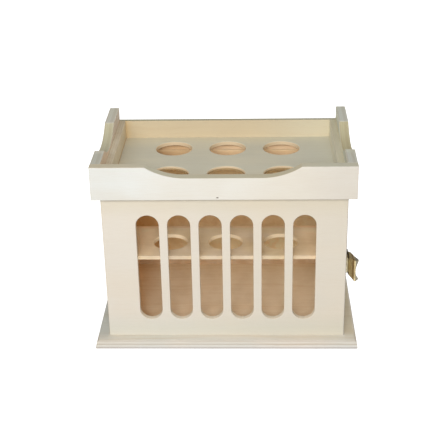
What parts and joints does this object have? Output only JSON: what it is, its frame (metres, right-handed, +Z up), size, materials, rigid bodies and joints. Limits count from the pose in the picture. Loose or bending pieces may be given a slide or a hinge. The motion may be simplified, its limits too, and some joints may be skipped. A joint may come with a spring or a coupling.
{
  "type": "egg cabinet",
  "caption": "Small wooden egg cabinet: slotted front, scalloped tray top with round egg seats, inner egg shelf, side door with brass latch.",
  "frame": {"origin": "centre of the base board's underside, on the surface that the cabinet stands on", "axes": "+X to the right seen from the slotted front, +Y to the back, +Z up"},
  "size_m": [0.282, 0.1976, 0.2105],
  "materials": {
    "plywood_panel": "bare pale plywood",
    "gallery_board": "bare pale plywood, sanded",
    "base_wood": "bare pale wood, moulded edge",
    "inner_wood": "bare wood inside the cabinet",
    "antique_brass": "aged brass sheet",
    "brass_nail": "round-headed brass nails"
  },
  "bodies": {
    "cabinet": {"front_panel": "plywood_panel", "back_panel": "plywood_panel", "left_side_panel": "plywood_panel", "right_top_rail": "plywood_panel", "right_front_stile": "plywood_panel", "right_rear_stile": "plywood_panel", "tray_front_board": "gallery_board", "tray_left_board": "gallery_board", "tray_right_board": "gallery_board", "base_board": "base_wood", "egg_tray_board": "inner_wood", "egg_shelf": "inner_wood", "tray_cleat_left": "inner_wood", "tray_cleat_right": "inner_wood", "tray_cleat_front": "inner_wood", "tray_cleat_back": "inner_wood", "shelf_rail_left": "inner_wood", "shelf_rail_right": "inner_wood", "lower_hinge_frame_leaf": "antique_brass", "upper_hinge_frame_leaf": "antique_brass", "lower_hinge_pin": "antique_brass", "upper_hinge_pin": "antique_brass", "latch_keeper": "antique_brass", "hinge_frame_nails": "brass_nail", "keeper_nails": "brass_nail"},
    "door": {"side_door": "plywood_panel", "lower_hinge_door_leaf": "antique_brass", "upper_hinge_door_leaf": "antique_brass", "hinge_door_nails": "brass_nail", "latch_base_plate": "antique_brass", "latch_pin": "antique_brass", "latch_nails": "brass_nail"},
    "lever": {"latch_lever": "antique_brass"}
  },
  "joints": [
    {"name": "door_swing", "type": "hinge", "parent": "cabinet", "child": "door", "pos_m": [0.1286, 0.0654, 0.092], "axis": [0, 0, 1], "range_deg": [0, 170]},
    {"name": "latch_lever_swing", "type": "hinge", "parent": "door", "child": "lever", "pos_m": [0.1301, -0.05475, 0.084], "axis": [0, 0, 1], "range_deg": [0, 135]}
  ]
}
